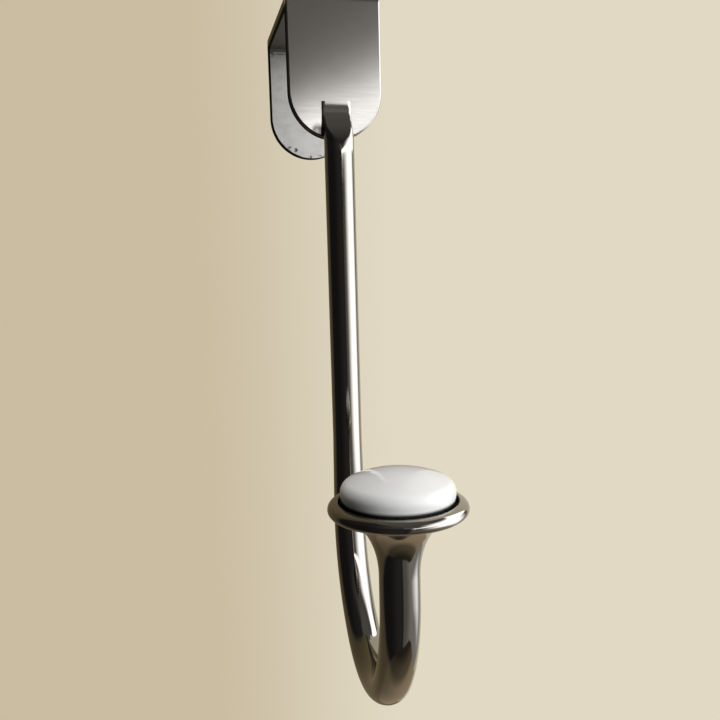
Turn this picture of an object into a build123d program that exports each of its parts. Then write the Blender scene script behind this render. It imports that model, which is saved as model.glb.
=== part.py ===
from build123d import *
import math
import os

# Over-the-door hook, in millimetres. A flat bar is bent over the top of a door, a cast hook rod is brazed
# to its front arm, and a glazed ceramic cap is bonded into the trumpet at the rod's end.
# The origin is the middle of the bridge's underside, where the strap sits on the top edge of the door.
# X runs across the strap, -Y points out into the room and +Z points up.

# Strap: flat bar with two arms of one length, each ending in a half circle
strap_width = 25.4
strap_thickness = 3.2
door_gap = 39.0
arm_length = 33.8
bend_inside_radius = 0.8
bend_outside_radius = 1.2
strap_edge_radius = 0.5

# Shank: round rod that hangs from the strap's front arm, down to where the bend starts
hook_drop = 136.65
shank_diameter = 8.0
seat_to_axis = 2.6
shank_taper = 21.8
shank_foot_diameter = 8.65
seat_clearance = 0.25

# Tongue: the rod's upper end, flat behind, with a face that curves out of the strap
tongue_overlap = 10.0
tongue_tip = 0.4
ramp_length = 14.0
ramp_hollow_radius = 7.0
tongue_corner_radius = 1.3
tongue_corner_share = 0.7
crown_seam = 0.7
seat_sections = 8
neck_sections = 3
corner_runout = 2.2

# U bend: three tangent arcs that grow in thickness towards the front
bend_back_radius = 36.2
bend_back_angle = 55.7
bend_bottom_radius = 22.5
bend_front_radius = 35.5
bend_front_angle = 36.0
arm_diameter = 9.1

# Trumpet: flared end of the front arm, with a broad domed lip around a shallow recess
trumpet_height = 23.3
flare_height = 14.0
lip_diameter = 30.6
lip_under_radius = 1.2
lip_top_height = 1.7
lip_top_width = 2.1
recess_diameter = 25.8
recess_depth = 1.2
recess_edge_radius = 0.25
socket_diameter = 10.3
socket_depth = 4.3

# Cap: pillow-shaped button with a spigot that is bonded into the trumpet's socket
cap_diameter = 25.0
cap_foot_diameter = 22.4
cap_belly_height = 1.9
cap_dome_rise = 4.7
cap_edge_radius = 2.7
bond_gap = 0.15
spigot_end_gap = 0.3

# Places that follow from the sizes above
strap_face_y = -door_gap / 2 - strap_thickness
arm_tip_z = -arm_length
shank_y = strap_face_y - seat_to_axis
shoulder_z = arm_tip_z - seat_clearance
shank_radius = shank_diameter / 2
bend_top_z = -hook_drop
taper_z = bend_top_z + shank_taper
tongue_top_z = arm_tip_z + tongue_overlap
shank_top_z = tongue_top_z - ramp_length
shank_straight = shank_top_z - taper_z
bend_bottom_angle = 180 - bend_back_angle - bend_front_angle
arm_radius = arm_diameter / 2
quarter_turn = 90


def bent_bar():
    """The strap's side view, bent sharply at both corners, drawn out to the bar's width."""
    outer_depth = door_gap + 2 * strap_thickness
    outer_height = arm_length + strap_thickness
    outer = Pos(0, strap_thickness - outer_height / 2) * Rectangle(outer_depth, outer_height)
    outer = fillet(outer.vertices().group_by(Axis.Y)[-1], bend_outside_radius)
    inner = Pos(0, -arm_length / 2) * Rectangle(door_gap, arm_length)
    inner = fillet(inner.vertices().group_by(Axis.Y)[-1], bend_inside_radius)
    return extrude(Plane.YZ * (outer - inner), strap_width / 2, both=True)


def arm_outline():
    """The strap seen from the front: straight sides and a half circle at the tip, drawn through both arms."""
    half_width = strap_width / 2
    arc_top = half_width - arm_length
    outline = Pos(0, (strap_thickness + arc_top) / 2) * Rectangle(strap_width, strap_thickness - arc_top)
    outline += Pos(0, arc_top) * Circle(half_width)
    return extrude(Plane.XZ * outline, door_gap / 2 + strap_thickness, both=True)


def is_tip_seam(edge):
    """True for the short lines where an arm's straight side runs into its round tip."""
    return abs(edge.tangent_at(0.5).Y) > 0.99 and abs(edge.center().Y) > door_gap / 2


def make_strap():
    """The bent bar with rounded arm tips and its long edges broken."""
    bar = bent_bar() & arm_outline()
    outline_edges = bar.edges().filter_by(Axis.X, reverse=True)
    long_edges = outline_edges.filter_by(is_tip_seam, reverse=True)
    return fillet(long_edges, strap_edge_radius)


def ramp_face(down):
    """How far the tongue's face stands out from the rod's axis below its top: hollow, then crown."""
    rise = seat_to_axis + shank_radius - tongue_tip
    radii = (rise ** 2 + ramp_length ** 2) / (2 * rise)
    crown_radius = radii - ramp_hollow_radius
    if down < ramp_hollow_radius * ramp_length / radii:
        out = ramp_hollow_radius - math.sqrt(ramp_hollow_radius ** 2 - down ** 2)
    else:
        out = rise - crown_radius + math.sqrt(crown_radius ** 2 - (ramp_length - down) ** 2)
    return tongue_tip + out - seat_to_axis


def corner_radius(face):
    """Radius of the tongue's front corners: slight at its tip, growing until they meet in the round rod."""
    slack = max(0, 1 - face / ramp_face(tongue_top_z - shoulder_z))
    grown = (face + math.sqrt(face ** 2 + 4 * tongue_corner_radius ** 2 * slack)) / 2
    return min(grown, tongue_corner_share * (face + seat_to_axis))


def tongue_section(down, seated):
    """Outline of the tongue below its top: rounded in front, and flat behind where it is seated."""
    face = ramp_face(down)
    corner = corner_radius(face)
    corner_y = shank_y - face + corner
    flat = shank_radius - corner
    seam_x = math.hypot(flat, crown_seam)
    seam_angle = math.acos((seam_x - flat) / corner)
    seam_y = corner_y - corner * math.sin(seam_angle)
    middle_x = flat + corner * math.cos(seam_angle / 2)
    middle_y = corner_y - corner * math.sin(seam_angle / 2)
    right = ThreePointArc((shank_radius, corner_y), (middle_x, middle_y), (seam_x, seam_y))
    front = ThreePointArc((seam_x, seam_y), (0, shank_y - face), (-seam_x, seam_y))
    left = ThreePointArc((-seam_x, seam_y), (-middle_x, middle_y), (-shank_radius, corner_y))
    if seated:
        back_corners = [(-shank_radius, strap_face_y), (shank_radius, strap_face_y)]
        back = Polyline((-shank_radius, corner_y), *back_corners, (shank_radius, corner_y))
    else:
        back = ThreePointArc((-shank_radius, corner_y), (0, shank_y + shank_radius), (shank_radius, corner_y))
    return Pos(0, 0, tongue_top_z - down) * make_face([right, front, left, back])


def make_tongue():
    """Upper end of the rod, forged flat: a thin tip on the strap that grows into the round rod."""
    seat_height = tongue_top_z - shoulder_z
    seat_steps = [seat_height * step / seat_sections for step in range(seat_sections + 1)]
    seat = loft([tongue_section(down, True) for down in seat_steps])
    neck_height = ramp_length - seat_height
    neck_steps = [seat_height + neck_height * step / neck_sections for step in range(neck_sections + 1)]
    neck = loft([tongue_section(down, False) for down in neck_steps])
    corner_reach = math.hypot(shank_radius, seat_to_axis)
    runout = Pos(0, shank_y, shoulder_z + corner_runout / 2) * Cone(shank_radius, corner_reach, corner_runout)
    above = seat_height - corner_runout
    runout += Pos(0, shank_y, tongue_top_z - above / 2) * Cylinder(shank_diameter, above)
    front = Pos(0, shank_y - shank_radius, tongue_top_z - seat_height / 2)
    runout += front * Box(2 * shank_diameter, shank_diameter, seat_height)
    return (seat & runout) + neck


def bend_arcs():
    """Centre line of the U bend in its own plane, from the shank's foot to the foot of the trumpet."""
    back = JernArc((shank_y, bend_top_z), (0, -1), bend_back_radius, -bend_back_angle)
    bottom = JernArc(back @ 1, back % 1, bend_bottom_radius, -bend_bottom_angle)
    front = JernArc(bottom @ 1, bottom % 1, bend_front_radius, -bend_front_angle)
    return [back, bottom, front]


def make_bend():
    """Round bar along the three arcs, growing evenly with length from the shank's foot to the front arm."""
    arcs = bend_arcs()
    total = sum(arc.length for arc in arcs)
    start_radius = shank_foot_diameter / 2
    growth = (arm_radius - start_radius) / total
    done = 0.0
    bend = None
    for arc in arcs:
        path = Plane.YZ * arc
        near = Plane(path @ 0, x_dir=(1, 0, 0), z_dir=path % 0) * Circle(start_radius + growth * done)
        done += arc.length
        far = Plane(path @ 1, x_dir=(1, 0, 0), z_dir=path % 1) * Circle(start_radius + growth * done)
        piece = sweep([near, far], path=path, multisection=True)
        bend = piece if bend is None else bend + piece
    return bend


def trumpet_axis():
    """Y and Z of the foot of the trumpet, where the bend ends pointing straight up."""
    end = bend_arcs()[-1] @ 1
    return end.X, end.Y


def make_trumpet():
    """Turned form of the front arm: stem, flare, domed lip, recess and blind socket for the cap."""
    lip_radius = lip_diameter / 2
    crown_r = lip_radius - lip_under_radius
    land_r = lip_radius - lip_top_width
    flare_z = -lip_top_height - lip_under_radius - flare_height
    recess_radius = recess_diameter / 2
    socket_radius = socket_diameter / 2
    socket_z = -recess_depth - socket_depth
    flare_width = crown_r - arm_radius
    stem = Polyline((0, -trumpet_height), (arm_radius, -trumpet_height), (arm_radius, flare_z))
    flare_centre = (crown_r, flare_z)
    flare = EllipticalCenterArc(flare_centre, flare_width, flare_height, quarter_turn, arc_size=quarter_turn)
    lip_under = CenterArc((crown_r, -lip_top_height), lip_under_radius, -quarter_turn, quarter_turn)
    dome_centre = (land_r, -lip_top_height)
    lip_dome = EllipticalCenterArc(dome_centre, lip_top_width, lip_top_height, 0, arc_size=quarter_turn)
    recess = [(land_r, 0), (recess_radius, 0), (recess_radius, -recess_depth)]
    socket = [(socket_radius, -recess_depth), (socket_radius, socket_z), (0, socket_z)]
    inside = Polyline(*recess, *socket, (0, -trumpet_height))
    profile = make_face([stem, flare, lip_under, lip_dome, inside])
    rim_corner = profile.vertices().sort_by_distance((recess_radius, 0, 0))[0]
    profile = fillet(rim_corner, recess_edge_radius)
    foot_y, foot_z = trumpet_axis()
    return Pos(0, foot_y, foot_z + trumpet_height) * revolve(Plane.XZ * profile, Axis.Z)


def make_hook():
    """The whole cast hook: tongue, shank, bend and trumpet in one piece."""
    middle_z = (shank_top_z + taper_z) / 2
    shank = Pos(0, shank_y, middle_z) * Cylinder(shank_radius, shank_straight)
    foot_z = (taper_z + bend_top_z) / 2
    taper = Pos(0, shank_y, foot_z) * Cone(shank_foot_diameter / 2, shank_radius, shank_taper)
    return make_tongue() + shank + taper + make_bend() + make_trumpet()


def make_cap():
    """Turned form of the ceramic button: domed top, rounded belly, flat foot and spigot."""
    cap_radius = cap_diameter / 2
    foot_radius = cap_foot_diameter / 2
    spigot_radius = socket_diameter / 2 - bond_gap
    spigot_z = -recess_depth - socket_depth + spigot_end_gap
    belly_drop = cap_belly_height + recess_depth
    edge_r = cap_radius - cap_edge_radius
    crown_rise = cap_dome_rise - cap_edge_radius
    dome_radius = (edge_r ** 2 + cap_dome_rise ** 2 - cap_edge_radius ** 2) / (2 * crown_rise)
    dome_centre_z = cap_belly_height + cap_dome_rise - dome_radius
    edge_turn = math.degrees(math.atan2(cap_belly_height - dome_centre_z, edge_r))
    seat_line = [(spigot_radius, -recess_depth), (foot_radius, -recess_depth)]
    under = Polyline((0, spigot_z), (spigot_radius, spigot_z), *seat_line)
    belly_width = cap_radius - foot_radius
    belly_centre = (foot_radius, cap_belly_height)
    belly = EllipticalCenterArc(belly_centre, belly_width, belly_drop, -quarter_turn, arc_size=quarter_turn)
    edge = CenterArc((edge_r, cap_belly_height), cap_edge_radius, 0, edge_turn)
    dome = CenterArc((0, dome_centre_z), dome_radius, edge_turn, quarter_turn - edge_turn)
    axis_line = Line((0, cap_belly_height + cap_dome_rise), (0, spigot_z))
    profile = make_face([under, belly, edge, dome, axis_line])
    foot_y, foot_z = trumpet_axis()
    return Pos(0, foot_y, foot_z + trumpet_height) * revolve(Plane.XZ * profile, Axis.Z)


os.makedirs("parts", exist_ok=True)
export_step(make_strap(), "parts/door_strap.step")
export_step(make_hook(), "parts/hook_rod.step")
export_step(make_cap(), "parts/ceramic_cap.step")
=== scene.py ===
import math

import bmesh
import bpy
from mathutils import Matrix, Vector


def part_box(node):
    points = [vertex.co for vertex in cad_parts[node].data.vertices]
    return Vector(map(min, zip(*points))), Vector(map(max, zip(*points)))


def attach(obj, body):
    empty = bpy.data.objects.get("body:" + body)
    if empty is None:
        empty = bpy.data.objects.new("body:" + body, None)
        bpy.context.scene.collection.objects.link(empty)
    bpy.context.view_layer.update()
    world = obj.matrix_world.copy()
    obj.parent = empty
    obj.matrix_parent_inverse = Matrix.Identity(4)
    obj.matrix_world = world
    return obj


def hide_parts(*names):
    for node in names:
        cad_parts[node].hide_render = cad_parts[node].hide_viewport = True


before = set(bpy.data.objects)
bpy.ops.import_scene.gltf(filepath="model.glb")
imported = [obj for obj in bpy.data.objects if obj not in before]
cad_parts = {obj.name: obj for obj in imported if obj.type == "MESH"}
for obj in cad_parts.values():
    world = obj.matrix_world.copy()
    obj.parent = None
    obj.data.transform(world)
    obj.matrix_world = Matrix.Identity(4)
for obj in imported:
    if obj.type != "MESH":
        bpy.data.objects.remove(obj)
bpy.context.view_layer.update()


# Door strap
# A flat steel bar folded square at both ends of its bridge, so that it hooks over the top edge of a door.
# Both arms end in a half circle. The outside is satin plated, and the faces against the door are left duller.
strap_low, strap_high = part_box("door_strap")
strap_thickness = strap_high.z
strap_half_width = strap_high.x
strap_face_y = strap_low.y
strap_inner_y = strap_high.y - strap_thickness
fold_inside_radius = 0.0008
fold_outside_radius = 0.0012
fold_segments = 6
tip_share = 0.9997
tip_radius = strap_half_width * tip_share
tip_merge = 4 * (strap_half_width - tip_radius)
tip_segments = 40
strap_edge_radius = 0.0005
strap_edge_segments = 4
square_edge = math.radians(60)
strap_crisp_angle = math.radians(50)


def make_strap_mesh():
    """The folded bar: its side view drawn out to the bar's width, the tips rounded and the edges broken."""
    bm = bmesh.new()
    outer = [(strap_low.y, strap_low.z), (strap_low.y, strap_high.z),
             (strap_high.y, strap_high.z), (strap_high.y, strap_low.z)]
    inner = [(strap_inner_y, strap_low.z), (strap_inner_y, 0.0),
             (-strap_inner_y, 0.0), (-strap_inner_y, strap_low.z)]
    verts = [bm.verts.new((strap_low.x, y, z)) for y, z in outer + inner]
    bm.faces.new(verts)
    for corners, radius in ((verts[1:3], fold_outside_radius), (verts[5:7], fold_inside_radius)):
        bmesh.ops.bevel(bm, geom=corners, affect="VERTICES", offset=radius, segments=fold_segments,
                        profile=0.5, material=-1)
    drawn = bmesh.ops.extrude_face_region(bm, geom=bm.faces[:])["geom"]
    bmesh.ops.translate(bm, verts=only(bmesh.types.BMVert, drawn), vec=(2 * strap_half_width, 0, 0))
    bmesh.ops.recalc_face_normals(bm, faces=bm.faces)
    tips = [e for e in bm.edges if is_tip_edge(e)]
    bmesh.ops.bevel(bm, geom=tips, affect="EDGES", offset=tip_radius, segments=tip_segments,
                    profile=0.5, material=-1)
    bmesh.ops.remove_doubles(bm, verts=bm.verts, dist=tip_merge)
    outline = [e for e in bm.edges if e.is_manifold and e.calc_face_angle() > square_edge]
    bmesh.ops.bevel(bm, geom=outline, affect="EDGES", offset=strap_edge_radius, segments=strap_edge_segments,
                    profile=0.5, material=-1)
    return bm


def only(kind, geometry):
    """The vertices, edges or faces among an operator's results."""
    return [item for item in geometry if isinstance(item, kind)]


def is_tip_edge(edge):
    """True for the four short edges across the bar's thickness at the bottom corners of the arms."""
    a, b = (v.co for v in edge.verts)
    at_bottom = max(a.z, b.z) < strap_low.z + strap_edge_radius
    return at_bottom and abs(a.x - b.x) < strap_edge_radius


def finish_piece(name, bm, crisp_angle):
    """Makes an object of a mesh: faces outwards, smooth, with the edges sharper than an angle kept crisp."""
    bmesh.ops.recalc_face_normals(bm, faces=bm.faces)
    mesh = bpy.data.meshes.new(name)
    bm.to_mesh(mesh)
    bm.free()
    for polygon in mesh.polygons:
        polygon.use_smooth = True
    mesh.set_sharp_from_angle(angle=crisp_angle)
    piece = bpy.data.objects.new(name, mesh)
    bpy.context.scene.collection.objects.link(piece)
    return piece


strap = finish_piece("strap_body", make_strap_mesh(), strap_crisp_angle)
flat_faces = strap.modifiers.new("flat_faces", "WEIGHTED_NORMAL")
flat_faces.keep_sharp = True


def new_material(name):
    """A material with its node tree and its surface shader."""
    material = bpy.data.materials.new(name)
    material.use_nodes = True
    tree = material.node_tree
    return material, tree, tree.nodes["Principled BSDF"]


def add_node(tree, kind, **values):
    """Adds a node, with values set on its properties, or on its inputs where they are named so."""
    node = tree.nodes.new(kind)
    for key, value in values.items():
        if hasattr(node, key):
            setattr(node, key, value)
        else:
            node.inputs[key.replace("_", " ")].default_value = value
    return node


def make_mottle_group():
    """Soft cloudy marks, as a mask from 0 to 1: fine and coarse noise mixed, between two levels."""
    group = bpy.data.node_groups.new("surface_mottle", "ShaderNodeTree")
    group.interface.new_socket("Vector", in_out="INPUT", socket_type="NodeSocketVector")
    for name in ("Scale", "Low", "High"):
        group.interface.new_socket(name, in_out="INPUT", socket_type="NodeSocketFloat")
    group.interface.new_socket("Mask", in_out="OUTPUT", socket_type="NodeSocketFloat")
    given = group.nodes.new("NodeGroupInput")
    result = group.nodes.new("NodeGroupOutput")
    cloud = add_node(group, "ShaderNodeTexNoise", Detail=5.0, Roughness=0.6)
    level = add_node(group, "ShaderNodeMapRange", interpolation_type="SMOOTHSTEP")
    group.links.new(given.outputs["Vector"], cloud.inputs["Vector"])
    group.links.new(given.outputs["Scale"], cloud.inputs["Scale"])
    group.links.new(cloud.outputs["Fac"], level.inputs["Value"])
    group.links.new(given.outputs["Low"], level.inputs["From Min"])
    group.links.new(given.outputs["High"], level.inputs["From Max"])
    group.links.new(level.outputs["Result"], result.inputs["Mask"])
    return group


mottle_group = make_mottle_group()


def add_mottle(tree, vector, scale, low, high):
    """Places the shared mottle in a material and returns its mask."""
    node = tree.nodes.new("ShaderNodeGroup")
    node.node_tree = mottle_group
    tree.links.new(vector, node.inputs["Vector"])
    node.inputs["Scale"].default_value = scale
    node.inputs["Low"].default_value = low
    node.inputs["High"].default_value = high
    return node.outputs["Mask"]


def surface_place(tree):
    """The place of each point on the surface."""
    return add_node(tree, "ShaderNodeTexCoord").outputs["Object"]


def split_axes(tree, vector):
    """The X, Y and Z of a place or a direction, found by name."""
    node = add_node(tree, "ShaderNodeSeparateXYZ")
    tree.links.new(vector, node.inputs["Vector"])
    return node.outputs


def surface_facing(tree):
    """The X, Y and Z of the direction in which the surface faces."""
    return split_axes(tree, add_node(tree, "ShaderNodeNewGeometry").outputs["Normal"])


def stretched(tree, place, scale):
    """Coordinates stretched by a scale along each axis."""
    node = add_node(tree, "ShaderNodeMapping", vector_type="POINT")
    tree.links.new(place, node.inputs["Vector"])
    node.inputs["Scale"].default_value = scale
    return node.outputs["Vector"]


def combine(tree, operation, *values):
    """Puts values together in turn by one kind of arithmetic. Each is a number or another node's output."""
    total = values[0]
    for value in values[1:]:
        node = add_node(tree, "ShaderNodeMath", operation=operation)
        for socket, part in zip(node.inputs, (total, value)):
            if isinstance(part, (int, float)):
                socket.default_value = part
            else:
                tree.links.new(part, socket)
        total = node.outputs["Value"]
    return total


def fade(tree, value, start, end):
    """A soft step: 0 where the value is at its start, 1 where it is at its end."""
    node = add_node(tree, "ShaderNodeMapRange", interpolation_type="SMOOTHSTEP")
    tree.links.new(value, node.inputs["Value"])
    node.inputs["From Min"].default_value = start
    node.inputs["From Max"].default_value = end
    return node.outputs["Result"]


def map_value(tree, mask, low, high):
    """Carries a mask from 0..1 to low..high."""
    node = add_node(tree, "ShaderNodeMapRange")
    tree.links.new(mask, node.inputs["Value"])
    node.inputs["To Min"].default_value = low
    node.inputs["To Max"].default_value = high
    return node.outputs["Result"]


mix_first_colour = 6
mix_second_colour = 7
mix_colour_result = 2


def mix_colour(tree, mask, first, second):
    """Blends two colours by a mask. Each colour is a value or another node's output."""
    node = add_node(tree, "ShaderNodeMix", data_type="RGBA")
    tree.links.new(mask, node.inputs["Factor"])
    for index, colour in ((mix_first_colour, first), (mix_second_colour, second)):
        if isinstance(colour, tuple):
            node.inputs[index].default_value = (*colour, 1.0)
        else:
            tree.links.new(colour, node.inputs[index])
    return node.outputs[mix_colour_result]


spot_core = 0.4


def distance_from(tree, place, centre):
    """How far each point lies from a centre."""
    node = add_node(tree, "ShaderNodeVectorMath", operation="DISTANCE")
    tree.links.new(place, node.inputs[0])
    node.inputs[1].default_value = centre
    return node.outputs["Value"]


def add_spot(tree, place, centre, radius):
    """A mask that is 1 at a point on the surface and fades out over a radius."""
    return fade(tree, distance_from(tree, place, centre), radius, spot_core * radius)


# The satin's colours and roughness, and its mottles, each with a scale and the levels between which it grows.
satin_colour = (0.42, 0.40, 0.38)
satin_shade = (0.40, 0.38, 0.36)
satin_cloud = (180.0, 0.35, 0.70)
satin_roughness = (0.15, 0.17)
grain_shade = (0.35, 0.335, 0.315)
grain_stretch = (0.04, 1.0, 1.0)
grain_mottle = (4000.0, 0.30, 0.70)
grain_weight = 0.5
metal_specular = 0.5

# The cut sides carry painted shade on the arms and a painted brown highlight along the bridge. A turn is a
# share of facing fully sideways.
side_shade_colour = (0.014, 0.012, 0.010)
side_turn = (0.70, 0.92)
side_roughness = 0.7
side_specular = 0.05
rear_edge_turn = (0.05, 0.25)
rear_edge_depth = (strap_inner_y + 0.0012, strap_inner_y + 0.0008)
bridge_side_highlight_colour = (0.46, 0.42, 0.34)
bridge_side_highlight_height = (0.0006, 0.0014)

# The faces against the door: dull inside the arms, with painted shade under the bridge, towards the top of the
# arms and in the folds.
dull_colour = (0.74, 0.735, 0.72)
dull_shade = (0.65, 0.645, 0.63)
dull_stretch = (0.5, 1.0, 1.0)
dull_mottle = (420.0, 0.40, 0.70)
dull_top_shade_colour = (0.38, 0.37, 0.36)
dull_top_shade_height = (-0.011, 0.002)
dull_depth = (strap_inner_y + 0.0004, strap_inner_y + 0.0001)
dull_height = (-0.0006, -0.0011)
dull_roughness = 0.6
dull_bareness = 0.5
underside_shade_colour = (0.17, 0.16, 0.15)
fold_height = (-0.0014, -0.0008)
fold_depth = (strap_inner_y - 0.0014, strap_inner_y - 0.0006)
fold_shade_strength = 0.9

# Stains: crumbs of dirt on the back arm's inner face, each at an X and Z with a radius, a thin dark line
# inside both arms just under the folds, and a painted dark reflection of the rod on the front beside the
# tongue.
stain_and_shade_colour = (0.07, 0.066, 0.06)
stain_crumbs = (1300.0, 0.42, 0.56)
inner_stains = (((-0.0120, -0.0017), 0.0013), ((-0.0071, -0.0304), 0.0010), ((-0.0052, -0.0310), 0.0009),
                ((-0.0007, -0.0333), 0.0009), ((0.0026, -0.0330), 0.0009))
dark_line_z = -0.0017
dark_line_width = (0.0004, 0.0001)
dark_line_strength = (0.25, 0.75)
rod_reflection_place = (-0.0050, strap_face_y, -0.0318)
rod_reflection_radius = 0.0028
rod_reflection_cloud = (500.0, 0.30, 0.70)
rod_reflection_strength = (0.35, 1.0)


def find_strap_sides(tree, depth, below):
    """A mask for the painted shade on the bar's cut sides, with the rounded edges behind them."""
    facing = surface_facing(tree)
    across = combine(tree, "ABSOLUTE", facing["X"], 0.0)
    along = combine(tree, "ABSOLUTE", facing["Y"], 0.0)
    around_tip = combine(tree, "MULTIPLY", combine(tree, "SUBTRACT", 1.0, along), below)
    edge_on = combine(tree, "MAXIMUM", across, around_tip)
    rear_edge = combine(tree, "MULTIPLY", fade(tree, edge_on, *rear_edge_turn),
                        fade(tree, depth, *rear_edge_depth))
    return combine(tree, "MAXIMUM", fade(tree, edge_on, *side_turn), rear_edge)


def find_strap_stains_and_reflection(tree, place, height, inside):
    """A mask of the painted dark reflection of the rod beside the tongue, the stains inside the back arm and
    the thin dark line under the folds.
    """
    crumbs = add_mottle(tree, place, *stain_crumbs)
    # A painted dark reflection of the rod on the plate beside the tongue.
    rod_reflection = map_value(tree, add_mottle(tree, place, *rod_reflection_cloud), *rod_reflection_strength)
    stain_and_shade = combine(tree, "MULTIPLY", add_spot(tree, place, rod_reflection_place, rod_reflection_radius), rod_reflection)
    for (x, z), radius in inner_stains:
        spot = add_spot(tree, place, (x, strap_inner_y, z), radius)
        stain_and_shade = combine(tree, "MAXIMUM", stain_and_shade, combine(tree, "MULTIPLY", spot, crumbs))
    # A thin dark line inside both arms just under the folds.
    off_dark_line = combine(tree, "ABSOLUTE", combine(tree, "SUBTRACT", height, dark_line_z), 0.0)
    dark_line = combine(tree, "MULTIPLY", fade(tree, off_dark_line, *dark_line_width), inside,
                    map_value(tree, crumbs, *dark_line_strength))
    return combine(tree, "MAXIMUM", stain_and_shade, dark_line)


def make_satin_metal():
    """Satin plating with a fine grain and dull, stained faces inside, with painted shade, a painted highlight
    and a painted reflection.
    """
    material, tree, shader = new_material("satin_metal")
    place = surface_place(tree)
    axes = split_axes(tree, place)
    height = axes["Z"]
    depth = combine(tree, "ABSOLUTE", axes["Y"], 0.0)
    within = fade(tree, depth, *dull_depth)
    below = fade(tree, height, *dull_height)
    inside = combine(tree, "MULTIPLY", within, below)
    under = combine(tree, "SUBTRACT", within, inside)
    # Painted shade in the creases of the folds.
    fold_shade = combine(tree, "MULTIPLY", fade(tree, height, *fold_height), fade(tree, depth, *fold_depth), within,
                   fold_shade_strength)
    side = find_strap_sides(tree, depth, below)
    # Painted brown highlight along the bridge's cut sides.
    bridge_side_highlight = combine(tree, "MULTIPLY", side, fade(tree, height, *bridge_side_highlight_height))
    stain_and_shade = combine(tree, "MAXIMUM", find_strap_stains_and_reflection(tree, place, height, inside), fold_shade)

    cloud = add_mottle(tree, place, *satin_cloud)
    grain = add_mottle(tree, stretched(tree, place, grain_stretch), *grain_mottle)
    blotches = add_mottle(tree, stretched(tree, place, dull_stretch), *dull_mottle)
    satin = mix_colour(tree, cloud, satin_colour, satin_shade)
    satin = mix_colour(tree, combine(tree, "MULTIPLY", grain, grain_weight), satin, grain_shade)
    dull = mix_colour(tree, blotches, dull_colour, dull_shade)
    # Painted shade, darker towards the top of the inner faces.
    dull = mix_colour(tree, fade(tree, height, *dull_top_shade_height), dull, dull_top_shade_colour)
    colour = mix_colour(tree, inside, satin, dull)
    # Painted shade under the bridge.
    colour = mix_colour(tree, under, colour, underside_shade_colour)
    # Real stains, with the painted shade in the folds and the painted reflection beside the tongue.
    colour = mix_colour(tree, stain_and_shade, colour, stain_and_shade_colour)
    # Painted shade on the cut sides.
    colour = mix_colour(tree, side, colour, side_shade_colour)
    colour = mix_colour(tree, bridge_side_highlight, colour, bridge_side_highlight_colour)
    tree.links.new(colour, shader.inputs["Base Color"])

    # The sides' painted shade also takes away their metal and gloss.
    dark_side = combine(tree, "SUBTRACT", side, bridge_side_highlight)
    rough = combine(tree, "MAXIMUM", map_value(tree, grain, *satin_roughness),
                    combine(tree, "MULTIPLY", within, dull_roughness),
                    combine(tree, "MULTIPLY", dark_side, side_roughness))
    tree.links.new(rough, shader.inputs["Roughness"])
    bare = combine(tree, "MAXIMUM", combine(tree, "MULTIPLY", inside, dull_bareness), fold_shade, dark_side)
    tree.links.new(combine(tree, "SUBTRACT", 1.0, bare), shader.inputs["Metallic"])
    specular = map_value(tree, dark_side, metal_specular, side_specular)
    tree.links.new(specular, shader.inputs["Specular IOR Level"])
    return material


strap.data.materials.append(make_satin_metal())
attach(strap, "root")
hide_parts("door_strap")


# Hook rod
# One cast and polished piece: a flattened tongue brazed to the strap's front arm, a round shank, a wide bend
# that thickens towards the front, and a front arm that flares into a trumpet with a rolled lip and a recess.
hook_low, hook_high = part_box("hook_rod")
shank_radius = 0.0040
seat_to_axis = 0.0026
shank_y = strap_face_y - seat_to_axis
shoulder_z = strap_low.z - 0.00025
shank_foot_radius = 0.004325
shank_taper = 0.0218
shank_steps = 8
taper_steps = 4
hook_drop = 0.13665
tongue_top_z = hook_high.z
tongue_tip = 0.0004
tongue_corner_radius = 0.0013
tongue_corner_share = 0.7
tongue_corner_width = 0.0009
ramp_length = 0.0148
corner_runout = 0.0022
ramp_rings = 56
ring_points = 160
face_steps = 40
corner_steps = 40
back_steps = 160
smallest_slope = 1e-6
bend_arcs = ((0.0362, 55.7), (0.0225, 88.3), (0.0355, 36.0))
bend_step = 2.0
arm_radius = 0.00455
lip_radius = min(hook_high.x, -hook_low.x)
lip_under_radius = 0.0012
lip_under_steps = 12
lip_top_height = 0.0017
lip_top_width = 0.0021
lip_top_steps = 20
flare_height = 0.0140
flare_steps = 32
trumpet_y = hook_low.y + lip_radius
trumpet_height = 0.0233
trumpet_top_z = -0.11703
recess_radius = 0.0129
recess_depth = 0.0012
recess_edge_radius = 0.00025
recess_edge_steps = 5
socket_radius = 0.00515
socket_depth = 0.0043
turned_crisp_angle = math.radians(40)


def smooth_rise(share):
    """The seventh-degree smooth step from 0 to 1, level at both ends."""
    return share ** 4 * (35 - 84 * share + 70 * share ** 2 - 20 * share ** 3)


def ramp_face(down):
    """How far the tongue's face stands out from the rod's axis: it rises slowly, steepens and rounds off."""
    rise = seat_to_axis + shank_radius - tongue_tip
    return tongue_tip + rise * smooth_rise(min(1.0, down / ramp_length)) - seat_to_axis


def tongue_corner(face):
    """Radius of the tongue's front corners: slight at its tip, growing until they meet in the round rod."""
    slack = max(0.0, 1 - face / ramp_face(tongue_top_z - shoulder_z))
    grown = (face + math.sqrt(face ** 2 + 4 * tongue_corner_radius ** 2 * slack)) / 2
    return min(grown, tongue_corner_share * (face + seat_to_axis))


def rear_reach(angle, z, seated):
    """Distance from the shank's axis to the rod's rear surface: flat against the strap where it is seated."""
    if not seated:
        return shank_radius
    corner = math.hypot(shank_radius, seat_to_axis)
    runout = min(1.0, (z - shoulder_z) / corner_runout)
    cone = shank_radius + (corner - shank_radius) * runout
    flank = shank_radius / max(math.sin(angle), smallest_slope)
    seat = seat_to_axis / max(-math.cos(angle), smallest_slope)
    return min(cone, flank, seat)


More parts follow.
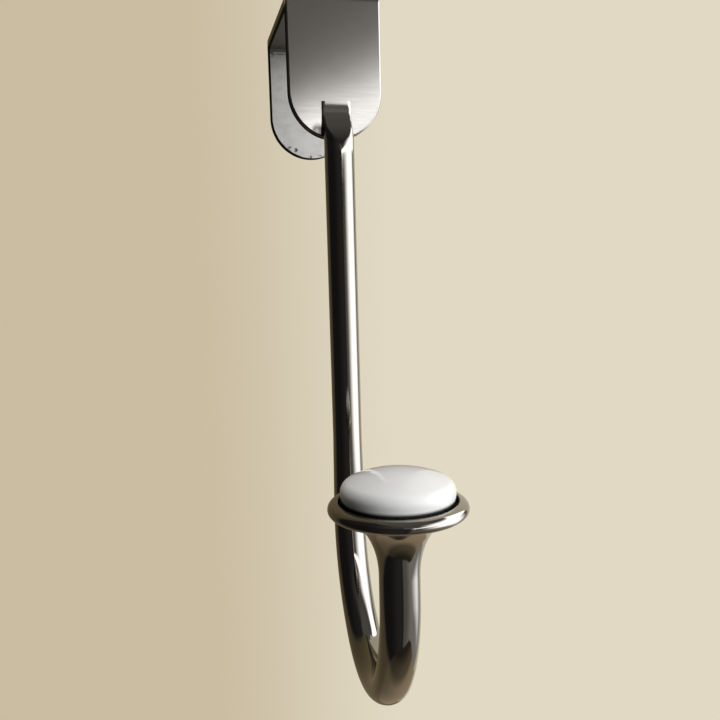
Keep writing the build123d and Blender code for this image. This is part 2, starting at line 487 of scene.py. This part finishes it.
def arc_points(centre, width, height, start, end, steps):
    """Points on a round or oval arc, from one angle to another, in degrees."""
    found = []
    for i in range(steps + 1):
        angle = math.radians(start + (end - start) * i / steps)
        found.append((centre[0] + width * math.cos(angle), centre[1] + height * math.sin(angle)))
    return found


def half_section(z, seated):
    """Right half of the rod's outline at a height, from the middle of its face to the middle of its back."""
    face = ramp_face(tongue_top_z - z)
    corner = tongue_corner(face)
    width = max(corner, tongue_corner_width)
    flat = shank_radius - width
    points = [(flat * i / face_steps, -face) for i in range(face_steps)]
    points += arc_points((flat, corner - face), width, corner, -90, 0, corner_steps)
    start = math.atan2(shank_radius, face - corner)
    for i in range(1, back_steps + 1):
        angle = start + (math.pi - start) * i / back_steps
        reach = rear_reach(angle, z, seated)
        points.append((reach * math.sin(angle), -reach * math.cos(angle)))
    return points


def even_points(points, count):
    """Points set evenly along a line of points, ends included."""
    lengths = [0.0]
    for a, b in zip(points, points[1:]):
        lengths.append(lengths[-1] + math.dist(a, b))
    found = []
    at = 0
    for i in range(count + 1):
        want = lengths[-1] * i / count
        while at < len(points) - 2 and lengths[at + 1] < want:
            at += 1
        span = lengths[at + 1] - lengths[at]
        share = (want - lengths[at]) / span if span > 0 else 0.0
        a, b = points[at], points[at + 1]
        found.append((a[0] + (b[0] - a[0]) * share, a[1] + (b[1] - a[1]) * share))
    return found


def set_section(ring, z, seated):
    """Puts a ring of vertices on the rod's outline at a height."""
    half = even_points(half_section(z, seated), ring_points // 2)
    outline = half + [(-x, y) for x, y in half[-2:0:-1]]
    for vert, (x, y) in zip(ring, outline):
        vert.co = (x, shank_y + y, z)


def ring_edges(bm, ring):
    """The edges that join a ring of vertices."""
    return [bm.edges.get(pair) for pair in zip(ring, ring[1:] + ring[:1])]


def grow_ring(bm, ring):
    """Extrudes a ring of vertices and returns the new ring, in the same order."""
    made = bmesh.ops.extrude_edge_only(bm, edges=ring_edges(bm, ring))
    fresh = set(only(bmesh.types.BMVert, made["geom"]))
    return [next(e.other_vert(v) for e in v.link_edges if e.other_vert(v) in fresh) for v in ring]


def resize_ring(bm, ring, centre, factor):
    """Scales a ring about a point."""
    bmesh.ops.scale(bm, verts=ring, vec=(factor, factor, factor), space=Matrix.Translation(-centre))


def add_tongue(bm, ring):
    """The tongue and its ramp: seated on the strap down to the shoulder, then free of it."""
    levels = [tongue_top_z - ramp_length * i / ramp_rings for i in range(ramp_rings + 1)]
    seated_levels = [(z, True) for z in levels if z > shoulder_z] + [(shoulder_z, True)]
    free_levels = [(shoulder_z, False)] + [(z, False) for z in levels if z < shoulder_z]
    set_section(ring, *seated_levels[0])
    for z, seated in seated_levels[1:] + free_levels:
        ring = grow_ring(bm, ring)
        set_section(ring, z, seated)
    return ring


def add_shank(bm, ring):
    """The straight rod, with its slow swelling above the bend."""
    z = tongue_top_z - ramp_length
    taper_z = shank_taper - hook_drop
    stops = [(z + (taper_z - z) * i / shank_steps, shank_radius) for i in range(1, shank_steps + 1)]
    for i in range(1, taper_steps + 1):
        share = i / taper_steps
        swelling = (shank_foot_radius - shank_radius) * share
        stops.append((taper_z - shank_taper * share, shank_radius + swelling))
    radius = shank_radius
    for next_z, next_radius in stops:
        ring = grow_ring(bm, ring)
        bmesh.ops.translate(bm, verts=ring, vec=(0, 0, next_z - z))
        resize_ring(bm, ring, Vector((0, shank_y, next_z)), next_radius / radius)
        z, radius = next_z, next_radius
    return ring


def add_bend(bm, ring):
    """The U bend: three arcs that run into each other, thickening evenly on the way."""
    place = Vector((0, shank_y, -hook_drop))
    inward = Vector((0, -1, 0))
    total = sum(radius * math.radians(angle) for radius, angle in bend_arcs)
    done = 0.0
    size = shank_foot_radius
    for radius, angle in bend_arcs:
        centre = place + inward * radius
        steps = math.ceil(angle / bend_step)
        turn = Matrix.Rotation(-math.radians(angle) / steps, 4, "X")
        for _ in range(steps):
            ring = grow_ring(bm, ring)
            bmesh.ops.rotate(bm, verts=ring, cent=centre, matrix=turn)
            place = centre + turn @ (place - centre)
            done += radius * math.radians(angle) / steps
            next_size = shank_foot_radius + (arm_radius - shank_foot_radius) * done / total
            resize_ring(bm, ring, place, next_size / size)
            size = next_size
        inward = (centre - place).normalized()
    return ring, place


def trumpet_profile():
    """Radius and height of the trumpet: stem, flare, rolled lip, recess and socket for the cap's spigot."""
    crown = lip_radius - lip_under_radius
    land = lip_radius - lip_top_width
    lip_middle = trumpet_height - lip_top_height
    flare_start = lip_middle - lip_under_radius - flare_height
    floor = trumpet_height - recess_depth
    rim_centre = (recess_radius + recess_edge_radius, trumpet_height - recess_edge_radius)
    profile = [(arm_radius, flare_start / 2)]
    profile += arc_points((crown, flare_start), crown - arm_radius, flare_height, 180, 90, flare_steps)
    profile += arc_points((crown, lip_middle), lip_under_radius, lip_under_radius, -90, 0,
                          lip_under_steps)[1:]
    profile += arc_points((land, lip_middle), lip_top_width, lip_top_height, 0, 90, lip_top_steps)[1:]
    profile += arc_points(rim_centre, recess_edge_radius, recess_edge_radius, 90, 180, recess_edge_steps)
    profile += [(recess_radius, floor), (socket_radius, floor), (socket_radius, floor - socket_depth)]
    return profile


def add_trumpet(bm, ring, foot):
    """The turned end of the front arm, grown from the end of the bend."""
    size, height = arm_radius, 0.0
    for next_size, next_height in trumpet_profile():
        ring = grow_ring(bm, ring)
        bmesh.ops.translate(bm, verts=ring, vec=(0, 0, next_height - height))
        resize_ring(bm, ring, foot + Vector((0, 0, next_height)), next_size / size)
        size, height = next_size, next_height
    return ring


def make_hook_mesh():
    """The rod from the tongue's end to the trumpet's socket, ring by ring, closed at both ends."""
    bm = bmesh.new()
    disc = bmesh.ops.create_circle(bm, cap_ends=True, radius=shank_radius, segments=ring_points)
    ring = add_tongue(bm, list(disc["verts"]))
    ring = add_shank(bm, ring)
    ring, foot = add_bend(bm, ring)
    ring = add_trumpet(bm, ring, foot)
    bmesh.ops.contextual_create(bm, geom=ring_edges(bm, ring))
    return bm


hook = finish_piece("hook_body", make_hook_mesh(), turned_crisp_angle)

# The polished metal, and painted shade in the recess round the foot of the cap.
nickel_colour = (0.37, 0.352, 0.325)
nickel_shade = (0.35, 0.332, 0.305)
nickel_marks = (120.0, 0.40, 0.75)
nickel_roughness = (0.08, 0.11)
recess_shade_colour = (0.012, 0.011, 0.010)
recess_shade_roughness = 0.8
recess_shade_specular = 0.05
recess_shade_radius = 0.0132
recess_shade_rim = (recess_shade_radius, recess_shade_radius - 0.0002)
recess_shade_height = (trumpet_top_z - 0.0022, trumpet_top_z - 0.0014)

# A painted highlight makes the tongue's sloped face brighter at its tip, and painted shade darkens it towards
# its root. Its right flank is left out of both.
slope_turn = (0.03, 0.25)
slope_height = (-0.050, -0.045)
right_flank_turn = (0.40, 0.15)
tongue_tip_highlight_colour = (0.70, 0.67, 0.63)
tongue_tip_highlight_height = (-0.0290, -0.0255)
tongue_root_shade_colour = (0.13, 0.125, 0.115)
tongue_root_shade_height = (-0.0290, -0.0360)


def make_polished_metal():
    """Dark bright nickel with faint handling marks, a painted highlight and painted shade on the tongue's
    face, and painted shade in the recess where the cap is set in.
    """
    material, tree, shader = new_material("polished_metal")
    place = surface_place(tree)
    height = split_axes(tree, place)["Z"]
    facing = surface_facing(tree)
    marks = add_mottle(tree, place, *nickel_marks)
    level_place = stretched(tree, place, (1.0, 1.0, 0.0))
    from_axis = distance_from(tree, level_place, (0.0, trumpet_y, 0.0))
    # Painted shade in the recess round the cap's foot, matt and without metal.
    recess_shade = combine(tree, "MULTIPLY", fade(tree, from_axis, *recess_shade_rim), fade(tree, height, *recess_shade_height))
    sloped = combine(tree, "MULTIPLY", fade(tree, facing["Z"], *slope_turn),
                     fade(tree, facing["X"], *right_flank_turn), fade(tree, height, *slope_height))
    # Painted highlight at the tongue's tip and painted shade towards its root.
    tip = combine(tree, "MULTIPLY", sloped, fade(tree, height, *tongue_tip_highlight_height))
    root = combine(tree, "MULTIPLY", sloped, fade(tree, height, *tongue_root_shade_height))

    colour = mix_colour(tree, marks, nickel_colour, nickel_shade)
    colour = mix_colour(tree, tip, colour, tongue_tip_highlight_colour)
    colour = mix_colour(tree, root, colour, tongue_root_shade_colour)
    colour = mix_colour(tree, recess_shade, colour, recess_shade_colour)
    tree.links.new(colour, shader.inputs["Base Color"])
    rough = combine(tree, "MAXIMUM", map_value(tree, marks, *nickel_roughness),
                    combine(tree, "MULTIPLY", recess_shade, recess_shade_roughness))
    tree.links.new(rough, shader.inputs["Roughness"])
    tree.links.new(combine(tree, "SUBTRACT", 1.0, recess_shade), shader.inputs["Metallic"])
    specular = map_value(tree, recess_shade, metal_specular, recess_shade_specular)
    tree.links.new(specular, shader.inputs["Specular IOR Level"])
    return material


hook.data.materials.append(make_polished_metal())
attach(hook, "root")
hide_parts("hook_rod")


# Ceramic cap
# A pillow-shaped button of white glazed ceramic. Its spigot is cemented into the trumpet's socket,
# and its flat foot sits in the recess, with a gap all round inside the lip that painted shade darkens.
cap_low, cap_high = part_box("ceramic_cap")
cap_radius = cap_high.x
cap_axis_y = (cap_low.y + cap_high.y) / 2
cap_foot_radius = 0.0112
cap_belly_height = 0.0019
cap_belly_steps = 16
cap_edge_radius = 0.0027
cap_edge_steps = 20
cap_dome_rise = 0.0047
cap_dome_steps = 32
cap_turns = 128
cap_merge = 1e-6
spigot_radius = 0.005
rim_z = cap_high.z - cap_belly_height - cap_dome_rise


def cap_profile():
    """Radius and height of the button above the lip's rim: spigot, foot, belly, rounded edge and dome."""
    foot_z = -recess_depth
    spigot_z = cap_low.z - rim_z
    edge_r = cap_radius - cap_edge_radius
    crown_rise = cap_dome_rise - cap_edge_radius
    dome_radius = (edge_r ** 2 + cap_dome_rise ** 2 - cap_edge_radius ** 2) / (2 * crown_rise)
    dome_z = cap_belly_height + cap_dome_rise - dome_radius
    edge_turn = math.degrees(math.atan2(cap_belly_height - dome_z, edge_r))
    belly_width = cap_radius - cap_foot_radius
    belly_drop = cap_belly_height - foot_z
    profile = [(0.0, spigot_z), (spigot_radius, spigot_z), (spigot_radius, foot_z)]
    profile += arc_points((cap_foot_radius, cap_belly_height), belly_width, belly_drop, -90, 0,
                          cap_belly_steps)
    profile += arc_points((edge_r, cap_belly_height), cap_edge_radius, cap_edge_radius, 0, edge_turn,
                          cap_edge_steps)[1:]
    profile += arc_points((0.0, dome_z), dome_radius, dome_radius, edge_turn, 90, cap_dome_steps)[1:]
    return profile


def make_cap_mesh():
    """The button's profile, turned about its axis."""
    bm = bmesh.new()
    verts = [bm.verts.new((r, cap_axis_y, rim_z + z)) for r, z in cap_profile()]
    edges = [bm.edges.new(pair) for pair in zip(verts, verts[1:])]
    bmesh.ops.spin(bm, geom=verts + edges, cent=(0, cap_axis_y, 0), axis=(0, 0, 1), angle=2 * math.pi,
                   steps=cap_turns, use_merge=True)
    bmesh.ops.remove_doubles(bm, verts=bm.verts, dist=cap_merge)
    return bm


cap = finish_piece("cap_body", make_cap_mesh(), turned_crisp_angle)

glaze_colour = (0.82, 0.82, 0.815)
glaze_shade = (0.79, 0.79, 0.78)
glaze_cloud = (150.0, 0.30, 0.70)
glaze_roughness = (0.08, 0.12)
glaze_specular = 0.35
cap_foot_shade_colour = (0.03, 0.03, 0.028)
cap_foot_shade_height = (rim_z + 0.0011, rim_z + 0.0002)


def make_white_glaze():
    """White glazed ceramic, very slightly uneven under a glossy coat, with painted shade at its foot where it
    is set in.
    """
    material, tree, shader = new_material("white_glaze")
    place = surface_place(tree)
    cloud = add_mottle(tree, place, *glaze_cloud)
    # Painted shade round the cap's foot.
    foot = fade(tree, split_axes(tree, place)["Z"], *cap_foot_shade_height)
    colour = mix_colour(tree, cloud, glaze_colour, glaze_shade)
    colour = mix_colour(tree, foot, colour, cap_foot_shade_colour)
    tree.links.new(colour, shader.inputs["Base Color"])
    tree.links.new(map_value(tree, cloud, *glaze_roughness), shader.inputs["Roughness"])
    shader.inputs["Specular IOR Level"].default_value = glaze_specular
    return material


cap.data.materials.append(make_white_glaze())
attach(cap, "root")
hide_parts("ceramic_cap")


# Floor and backdrop
# One plain pale sheet of matt paper: a level floor that sweeps up behind the hook, with a painted soft shadow,
# browner, to the left.
# It shows its own colour to the camera and in the metal, and gives the hook no light by that.
floor_z = -1.30
floor_front_y = -2.0
floor_glow = 0.85
sheet_back_y = 0.45
sheet_top_z = 1.2
sweep_radius = 0.40
sweep_steps = 24
sheet_half_width = 2.0
sheet_crisp_angle = math.radians(40)
sheet_colour = (0.755, 0.695, 0.55)
sheet_shadow_colour = (0.59, 0.505, 0.36)
sheet_shadow_right = (0.16, -0.05)
sheet_shadow_left = (-0.90, -0.30)
sheet_roughness = 0.9
sheet_specular = 0.1


def make_sheet_mesh():
    """An edge across the floor, drawn back, swept up and drawn to the sheet's top."""
    bm = bmesh.new()
    ends = [bm.verts.new((x, floor_front_y, floor_z)) for x in (-sheet_half_width, sheet_half_width)]
    made = bmesh.ops.extrude_edge_only(bm, edges=[bm.edges.new(ends)])["geom"]
    floor_depth = sheet_back_y - sweep_radius - floor_front_y
    bmesh.ops.translate(bm, verts=only(bmesh.types.BMVert, made), vec=(0, floor_depth, 0))
    back = [e for e in only(bmesh.types.BMEdge, made) if min(v.co.y for v in e.verts) > floor_front_y]
    sweep_centre = (0, sheet_back_y - sweep_radius, floor_z + sweep_radius)
    swept = bmesh.ops.spin(bm, geom=back[:1], cent=sweep_centre, axis=(1, 0, 0), angle=math.pi / 2,
                           steps=sweep_steps)["geom_last"]
    made = bmesh.ops.extrude_edge_only(bm, edges=only(bmesh.types.BMEdge, swept))["geom"]
    back_rise = sheet_top_z - floor_z - sweep_radius
    bmesh.ops.translate(bm, verts=only(bmesh.types.BMVert, made), vec=(0, 0, back_rise))
    return bm


def seen_directly(tree):
    """1 for what the camera sees, also mirrored or through something clear; 0 for light on other surfaces."""
    path = add_node(tree, "ShaderNodeLightPath").outputs
    return combine(tree, "MAXIMUM", path["Is Camera Ray"], path["Is Glossy Ray"], path["Is Transmission Ray"])


def make_sheet_material():
    """Matt pale paper, with a painted shadow to the left."""
    material, tree, shader = new_material("pale_paper")
    axes = split_axes(tree, surface_place(tree))
    # A painted soft shadow on the sheet, to the left of the hook.
    painted_shadow = combine(tree, "MULTIPLY", fade(tree, axes["X"], *sheet_shadow_right),
                      fade(tree, axes["X"], *sheet_shadow_left))
    colour = mix_colour(tree, painted_shadow, sheet_colour, sheet_shadow_colour)
    tree.links.new(colour, shader.inputs["Base Color"])
    shader.inputs["Roughness"].default_value = sheet_roughness
    shader.inputs["Specular IOR Level"].default_value = sheet_specular
    glow = add_node(tree, "ShaderNodeEmission")
    tree.links.new(colour, glow.inputs["Color"])
    up_the_back = fade(tree, axes["Z"], floor_z, floor_z + sweep_radius)
    share = combine(tree, "MULTIPLY", seen_directly(tree), map_value(tree, up_the_back, floor_glow, 1.0))
    blend = add_node(tree, "ShaderNodeMixShader")
    tree.links.new(share, blend.inputs["Fac"])
    tree.links.new(shader.outputs["BSDF"], blend.inputs[1])
    tree.links.new(glow.outputs["Emission"], blend.inputs[2])
    tree.links.new(blend.outputs["Shader"], tree.nodes["Material Output"].inputs["Surface"])
    return material


sheet = finish_piece("backdrop", make_sheet_mesh(), sheet_crisp_angle)
sheet.data.materials.append(make_sheet_material())


# Studio light
# A tall curved soft box to the right, a curved dark card round the left and back, and dim cards below and
# above. The metal mirrors these. A key lamp at the front right and a lamp above light the rest, and the sky
# is dim and even.
studio_middle = Vector((0.0, -0.05, -0.09))
card_low_z = -1.25
card_high_z = 1.25
card_steps = 64
card_crisp_angle = math.radians(40)


def make_curved_card(radius, first_azimuth, last_azimuth):
    """An upright card bent round the hook, between two azimuths in degrees: 0 in front, 90 to the right."""
    bm = bmesh.new()
    start = math.radians(first_azimuth)
    x = studio_middle.x + radius * math.sin(start)
    y = studio_middle.y - radius * math.cos(start)
    edge = bm.edges.new([bm.verts.new((x, y, z)) for z in (card_low_z, card_high_z)])
    bmesh.ops.spin(bm, geom=[edge], cent=studio_middle, axis=(0, 0, 1),
                   angle=math.radians(last_azimuth - first_azimuth), steps=card_steps)
    return bm


def new_glow(name):
    """A glowing card's material, with its glow and the X, Y and Z of each of its points."""
    material = bpy.data.materials.new(name)
    material.use_nodes = True
    tree = material.node_tree
    tree.nodes.remove(tree.nodes["Principled BSDF"])
    glow = tree.nodes.new("ShaderNodeEmission")
    tree.links.new(glow.outputs["Emission"], tree.nodes["Material Output"].inputs["Surface"])
    return material, tree, glow, split_axes(tree, surface_place(tree))


def find_azimuth(tree, axes):
    """The azimuth of each point of a curved card, in degrees."""
    out = combine(tree, "SUBTRACT", studio_middle.y, axes["Y"])
    return combine(tree, "MULTIPLY", combine(tree, "ARCTAN2", axes["X"], out), math.degrees(1.0))


def turn_low_down(tree, azimuth, height, below_z, turn_per_metre):
    """An azimuth that is turned back, more and more, below a height."""
    drop = combine(tree, "MAXIMUM", combine(tree, "SUBTRACT", below_z, height), 0.0)
    return combine(tree, "SUBTRACT", azimuth, combine(tree, "MULTIPLY", drop, turn_per_metre))


# Dim grey on both curved cards, in front of the hook: a base and two parts that come in with height.
grey_base = 0.03
grey_low = 0.055
grey_low_height = (-0.02, 0.25)
grey_high = 0.06
grey_high_height = (0.20, 1.20)


def dim_grey(tree, height):
    """Dim grey that grows with height."""
    low = combine(tree, "MULTIPLY", fade(tree, height, *grey_low_height), grey_low)
    high = combine(tree, "MULTIPLY", fade(tree, height, *grey_high_height), grey_high)
    return combine(tree, "ADD", low, high, grey_base)


# The soft box: pairs of azimuths in degrees, or of heights, each from where a part of the light starts to
# where it is full. The band shows in the lower half of the strap. Panel, slant and tail fill in weak light.
soft_box_radius = 0.60
soft_box_azimuths = (-18.0, 118.0)
main_radiance = 3.0
main_start = (14.0, 58.0)
main_end = (114.0, 86.0)
main_top = (0.70, 0.22)
main_turn_z = -0.22
main_turn_per_metre = 165.0
main_low_height = (-0.50, -0.18)
main_low_share = (0.45, 1.0)
band_radiance = 3.2
band_start = (4.0, 8.0)
band_foot = (0.035, 0.050)
band_top = (0.098, 0.062)
band_rise_from = 9.0
band_rise_per_degree = 0.0050
band_boost_azimuth = (13.0, 9.0)
band_boost = (1.0, 2.0)
panel_radiance = 0.14
panel_start = (-1.0, 8.0)
panel_height = (0.10, -0.10)
slant_radiance = 0.20
slant_start = (16.0, 48.0)
slant_height = (-0.17, -0.25)
tail_radiance = 0.11
tail_top = (0.60, 0.16)
tail_foot = (0.05, 0.09)
warm_light = (1.0, 0.95, 0.87)
cool_light = (0.97, 0.985, 1.0)
cool_level = (0.1, 1.2)


def make_soft_box_material():
    """Light that grows from the front to the right, further round low down, with a band near the top."""
    material, tree, glow, axes = new_glow("soft_box")
    height = axes["Z"]
    azimuth = find_azimuth(tree, axes)
    turned = turn_low_down(tree, azimuth, height, main_turn_z, main_turn_per_metre)
    main_low = map_value(tree, fade(tree, height, *main_low_height), *main_low_share)
    main = combine(tree, "MULTIPLY", fade(tree, turned, *main_start), fade(tree, azimuth, *main_end),
                   fade(tree, height, *main_top), main_low, main_radiance)
    past_start = combine(tree, "SUBTRACT", azimuth, band_rise_from)
    band_rise = combine(tree, "MULTIPLY", past_start, band_rise_per_degree)
    band_upper = fade(tree, combine(tree, "SUBTRACT", height, band_rise), *band_top)
    boost = map_value(tree, fade(tree, azimuth, *band_boost_azimuth), *band_boost)
    band = combine(tree, "MULTIPLY", fade(tree, azimuth, *band_start), fade(tree, height, *band_foot),
                   band_upper, boost, band_radiance)
    panel = combine(tree, "MULTIPLY", fade(tree, azimuth, *panel_start), fade(tree, height, *panel_height),
                    panel_radiance)
    slant = combine(tree, "MULTIPLY", fade(tree, azimuth, *slant_start), fade(tree, height, *slant_height),
                    slant_radiance)
    tail = combine(tree, "MULTIPLY", fade(tree, height, *tail_top), fade(tree, height, *tail_foot),
                   tail_radiance)
    haze = combine(tree, "ADD", dim_grey(tree, height), tail)
    level = combine(tree, "ADD", combine(tree, "MAXIMUM", main, band, haze), panel, slant)
    tree.links.new(level, glow.inputs["Strength"])
    tint = mix_colour(tree, fade(tree, level, *cool_level), warm_light, cool_light)
    tree.links.new(tint, glow.inputs["Color"])
    return material


# The dark card: grey in front, and brown light that comes in round the back and near the floor.
dark_card_radius = 0.42
dark_card_azimuths = (-204.0, -6.0)
dark_base = 0.01
wrap_azimuth = 90.0
full_turn = 360.0
dark_grey_azimuth = (-70.0, -8.0)
dark_grey_share = (0.2, 1.0)
grey_tint = (1.0, 0.97, 0.92)
brown_tint = (1.0, 0.78, 0.45)
brown_start = (-110.0, -130.0)
brown_turn_z = -0.28
brown_turn_per_metre = 90.0
brown_low_height = (-0.70, -1.10)
brown_low_azimuth = (-35.0, -70.0)
brown_azimuth = (-125.0, -178.0)
brown_radiance = (0.11, 0.18)
brown_floor_height = (-0.55, -1.10)
brown_floor_radiance = 0.20


def make_dark_card_material():
    """Near black in front, grey towards its top, and brown round the back and low down."""
    material, tree, glow, axes = new_glow("dark_card")
    height = axes["Z"]
    azimuth = find_azimuth(tree, axes)
    wrapped = combine(tree, "MULTIPLY", combine(tree, "GREATER_THAN", azimuth, wrap_azimuth), full_turn)
    azimuth = combine(tree, "SUBTRACT", azimuth, wrapped)
    grey_share = map_value(tree, fade(tree, azimuth, *dark_grey_azimuth), *dark_grey_share)
    grey = combine(tree, "MULTIPLY", grey_share, dim_grey(tree, height))
    turned = turn_low_down(tree, azimuth, height, brown_turn_z, brown_turn_per_metre)
    brown_low = combine(tree, "MULTIPLY", fade(tree, height, *brown_low_height),
                        fade(tree, azimuth, *brown_low_azimuth))
    brown = combine(tree, "MAXIMUM", fade(tree, turned, *brown_start), brown_low)
    by_floor = combine(tree, "MULTIPLY", fade(tree, height, *brown_floor_height), brown_floor_radiance)
    by_back = map_value(tree, fade(tree, azimuth, *brown_azimuth), *brown_radiance)
    strength = combine(tree, "ADD", by_back, by_floor)
    level = combine(tree, "ADD", grey, combine(tree, "MULTIPLY", brown, strength), dark_base)
    tree.links.new(level, glow.inputs["Strength"])
    tree.links.new(mix_colour(tree, brown, grey_tint, brown_tint), glow.inputs["Color"])
    return material


def add_card(name, bm, material):
    """Puts up a card that the camera doesn't see."""
    card = finish_piece(name, bm, card_crisp_angle)
    card.data.materials.append(material)
    card.visible_camera = False
    return card


def keep_to_mirrors(card):
    """Lets a card show in shiny surfaces only, without lighting others or throwing a shadow."""
    card.visible_diffuse = False
    card.visible_shadow = False


soft_box_mesh = make_curved_card(soft_box_radius, *soft_box_azimuths)
keep_to_mirrors(add_card("soft_box", soft_box_mesh, make_soft_box_material()))
dark_card_mesh = make_curved_card(dark_card_radius, *dark_card_azimuths)
add_card("dark_card", dark_card_mesh, make_dark_card_material())

# The low card: dim brown, brighter towards the back and to the right.
low_card_z = -0.72
low_card_half_width = 0.5
low_card_front_y = -0.52
low_card_back_y = 0.40
low_card_tint = (1.0, 0.79, 0.52)
low_front_y = (-0.46, -0.20)
low_front_radiance = (0.03, 0.12)
low_back_y = (-0.20, -0.02)
low_back_radiance = 0.21
low_right_x = (-0.42, 0.20)
low_right_share = (0.55, 1.35)


def make_low_card_mesh():
    """A level card under the hook, out of the picture."""
    bm = bmesh.new()
    corners = ((-low_card_half_width, low_card_front_y), (low_card_half_width, low_card_front_y),
               (low_card_half_width, low_card_back_y), (-low_card_half_width, low_card_back_y))
    bm.faces.new([bm.verts.new((x, y, low_card_z)) for x, y in corners])
    return bm


def make_low_card_material():
    """Dim brown, lighter towards the back and the right."""
    material, tree, glow, axes = new_glow("low_card")
    glow.inputs["Color"].default_value = (*low_card_tint, 1.0)
    from_front = map_value(tree, fade(tree, axes["Y"], *low_front_y), *low_front_radiance)
    to_back = combine(tree, "MULTIPLY", fade(tree, axes["Y"], *low_back_y), low_back_radiance)
    to_right = map_value(tree, fade(tree, axes["X"], *low_right_x), *low_right_share)
    level = combine(tree, "MULTIPLY", combine(tree, "ADD", from_front, to_back), to_right)
    tree.links.new(level, glow.inputs["Strength"])
    return material


add_card("low_card", make_low_card_mesh(), make_low_card_material())

ceiling_radius = 0.64
ceiling_segments = 48
ceiling_z = 1.24
ceiling_tint = (1.0, 0.96, 0.90)
ceiling_radiance = 0.15


def make_ceiling_mesh():
    """A level disc above the curved cards."""
    bm = bmesh.new()
    bmesh.ops.create_circle(bm, cap_ends=True, radius=ceiling_radius, segments=ceiling_segments)
    bmesh.ops.translate(bm, verts=bm.verts, vec=(studio_middle.x, studio_middle.y, ceiling_z))
    return bm


def make_ceiling_material():
    """Even dim grey."""
    material, _, glow, _ = new_glow("ceiling_card")
    glow.inputs["Color"].default_value = (*ceiling_tint, 1.0)
    glow.inputs["Strength"].default_value = ceiling_radiance
    return material


keep_to_mirrors(add_card("ceiling_card", make_ceiling_mesh(), make_ceiling_material()))

# The lamps' places are an azimuth and an elevation in degrees, and a distance from the middle of the hook.
key_place = (43.0, 3.0, 0.58)
key_side = 0.45
key_radiance = 4.2
top_place = (50.0, 78.0, 0.80)
top_side = 0.50
top_radiance = 4.2
lamp_power_factor = 4.0


def around(azimuth, elevation, distance):
    """A place round the hook: azimuth 0 is in front, 90 to the right, and elevation is above the horizon."""
    a = math.radians(azimuth)
    e = math.radians(elevation)
    direction = Vector((math.sin(a) * math.cos(e), -math.cos(a) * math.cos(e), math.sin(e)))
    return studio_middle + distance * direction


def add_lamp(name, place, side, radiance):
    """A soft square lamp that faces the hook, out of the camera's sight and not mirrored in the metal."""
    light = bpy.data.lights.new(name, "AREA")
    light.shape = "SQUARE"
    light.size = side
    light.energy = lamp_power_factor * side * side * radiance
    lamp = bpy.data.objects.new(name, light)
    turn = (studio_middle - place).to_track_quat("-Z", "Y").to_matrix().to_4x4()
    lamp.matrix_world = Matrix.Translation(place) @ turn
    lamp.visible_camera = False
    lamp.visible_glossy = False
    bpy.context.scene.collection.objects.link(lamp)


add_lamp("key_lamp", around(*key_place), key_side, key_radiance)
add_lamp("top_lamp", around(*top_place), top_side, top_radiance)

sky_colour = (0.97, 0.96, 0.94)
sky_strength = 0.17


def make_sky():
    """A dim, even sky for light on the object, which shows the sheet's own colour where it is seen."""
    world = bpy.data.worlds.new("studio")
    world.use_nodes = True
    tree = world.node_tree
    dim = tree.nodes["Background"]
    dim.inputs["Color"].default_value = (*sky_colour, 1.0)
    dim.inputs["Strength"].default_value = sky_strength
    pale = add_node(tree, "ShaderNodeBackground")
    pale.inputs["Color"].default_value = (*sheet_colour, 1.0)
    blend = add_node(tree, "ShaderNodeMixShader")
    tree.links.new(seen_directly(tree), blend.inputs["Fac"])
    tree.links.new(dim.outputs["Background"], blend.inputs[1])
    tree.links.new(pale.outputs["Background"], blend.inputs[2])
    tree.links.new(blend.outputs["Shader"], tree.nodes["World Output"].inputs["Surface"])
    return world


bpy.context.scene.world = make_sky()


# Camera
# Stands a little to the left of the hook and above its cap, and looks slightly down.
# Its focal length is in pixels of a square image.
image_side = 720
focal_pixels = 782.06
sensor_width = 36.0
nearest_view = 0.01
camera_place = Vector((-0.04219, -0.23586, -0.06471))
camera_yaw = math.radians(12.42)
camera_pitch = math.radians(7.67)
camera_roll = math.radians(-1.48)


def make_camera():
    """A camera turned right by its yaw, down by its pitch, and then rolled."""
    lens = bpy.data.cameras.new("photo_camera")
    lens.sensor_width = sensor_width
    lens.lens = focal_pixels / image_side * sensor_width
    lens.clip_start = nearest_view
    ahead = Vector((math.sin(camera_yaw), math.cos(camera_yaw), 0.0))
    forward = ahead * math.cos(camera_pitch) - Vector((0.0, 0.0, math.sin(camera_pitch)))
    level = Vector((math.cos(camera_yaw), -math.sin(camera_yaw), 0.0))
    upright = level.cross(forward)
    right = level * math.cos(camera_roll) + upright * math.sin(camera_roll)
    up = upright * math.cos(camera_roll) - level * math.sin(camera_roll)
    camera = bpy.data.objects.new("photo_camera", lens)
    turn = Matrix((right, up, -forward)).transposed().to_4x4()
    camera.matrix_world = Matrix.Translation(camera_place) @ turn
    bpy.context.scene.collection.objects.link(camera)
    return camera


bpy.context.scene.camera = make_camera()
bpy.context.scene.view_settings.view_transform = "Standard"
